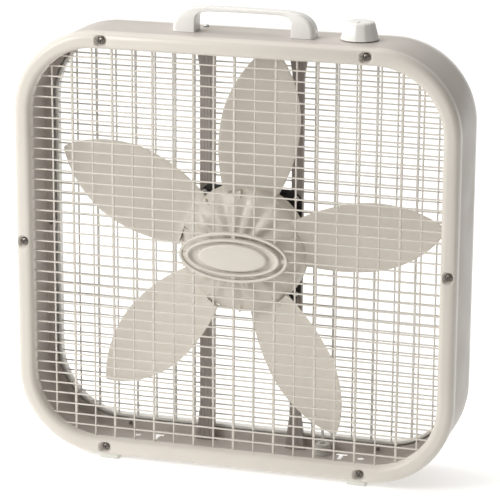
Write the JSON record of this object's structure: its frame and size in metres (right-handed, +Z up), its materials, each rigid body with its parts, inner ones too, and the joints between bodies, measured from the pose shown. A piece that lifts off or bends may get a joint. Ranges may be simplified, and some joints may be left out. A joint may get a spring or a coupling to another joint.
{
  "type": "box fan",
  "caption": "Free-standing box fan: a steel band between two grille shells, a spinning bladed rotor, a rotary speed knob on top and a fixed carrying handle.",
  "frame": {"origin": "under the middle of the body, on the surface that the foot pads stand on", "axes": "+Z up, +Y towards the rear (air intake) side, -Y towards the front (air outlet) side with the badge, +X to the right seen from the front"},
  "size_m": [0.533, 0.112, 0.5475],
  "materials": {
    "shell_plastic": "warm off-white moulded plastic, faint satin texture",
    "white_plastic": "glossy white moulded plastic",
    "band_paint": "warm grey satin enamel on sheet steel",
    "blade_plastic": "greige moulded plastic with a low sheen",
    "strut_paint": "dark grey satin paint on pressed steel",
    "black_paint": "black paint on pressed steel",
    "black_plastic": "black moulded plastic",
    "zinc_plate": "bright zinc plate",
    "dark_steel": "darkened steel screw head",
    "bright_steel": "ground bright steel",
    "lamination_steel": "oxidised lamination steel",
    "enamelled_copper": "enamelled copper wire",
    "sintered_bronze": "oil-filled sintered bronze",
    "lead_jacket": "light grey flexible PVC",
    "gland_plastic": "light grey moulded nylon"
  },
  "bodies": {
    "housing": {"housing_band": "band_paint", "front_shell": "shell_plastic", "rear_shell": "shell_plastic", "badge_plate": "shell_plastic", "handle": "white_plastic", "strut_left": "strut_paint", "strut_right": "strut_paint", "motor_plate": "black_paint", "motor_front_bell": "black_paint", "motor_rear_bell": "black_paint", "stator_stack": "lamination_steel", "winding_front": "enamelled_copper", "winding_rear": "enamelled_copper", "bearing_front": "sintered_bronze", "bearing_rear": "sintered_bronze", "switch_body": "black_plastic", "switch_nut": "zinc_plate", "cord_gland": "gland_plastic", "supply_lead": "lead_jacket", "motor_lead": "lead_jacket", "front_screw_upper_left": "dark_steel", "front_screw_upper_right": "dark_steel", "front_screw_left": "dark_steel", "front_screw_right": "dark_steel", "front_screw_lower_left": "dark_steel", "front_screw_lower_right": "dark_steel", "rear_screw_upper_left": "dark_steel", "rear_screw_upper_right": "dark_steel", "rear_screw_left": "dark_steel", "rear_screw_right": "dark_steel", "rear_screw_lower_left": "dark_steel", "rear_screw_lower_right": "dark_steel", "strut_screw_lower_left": "zinc_plate", "strut_screw_upper_left": "zinc_plate", "strut_screw_lower_right": "zinc_plate", "strut_screw_upper_right": "zinc_plate", "plate_screw_lower_left": "zinc_plate", "plate_screw_upper_left": "zinc_plate", "plate_screw_lower_right": "zinc_plate", "plate_screw_upper_right": "zinc_plate", "handle_screw_left": "zinc_plate", "handle_screw_right": "zinc_plate", "motor_bolt_1": "zinc_plate", "motor_bolt_2": "zinc_plate", "motor_bolt_3": "zinc_plate", "motor_bolt_4": "zinc_plate", "motor_nut_1": "zinc_plate", "motor_nut_2": "zinc_plate", "motor_nut_3": "zinc_plate", "motor_nut_4": "zinc_plate"},
    "rotor": {"fan_blade": "blade_plastic", "hub_clip": "bright_steel", "motor_shaft": "bright_steel", "motor_rotor": "bright_steel"},
    "knob": {"speed_knob": "white_plastic", "switch_shaft": "zinc_plate"}
  },
  "joints": [
    {"name": "fan_spin", "type": "hinge", "parent": "housing", "child": "rotor", "pos_m": [0, 0, 0.262], "axis": [0, 1, 0], "continuous": true},
    {"name": "knob_turn", "type": "hinge", "parent": "housing", "child": "knob", "pos_m": [0.1345, 0.006, 0.5175], "axis": [0, 0, -1], "range_deg": [0, 135]}
  ]
}
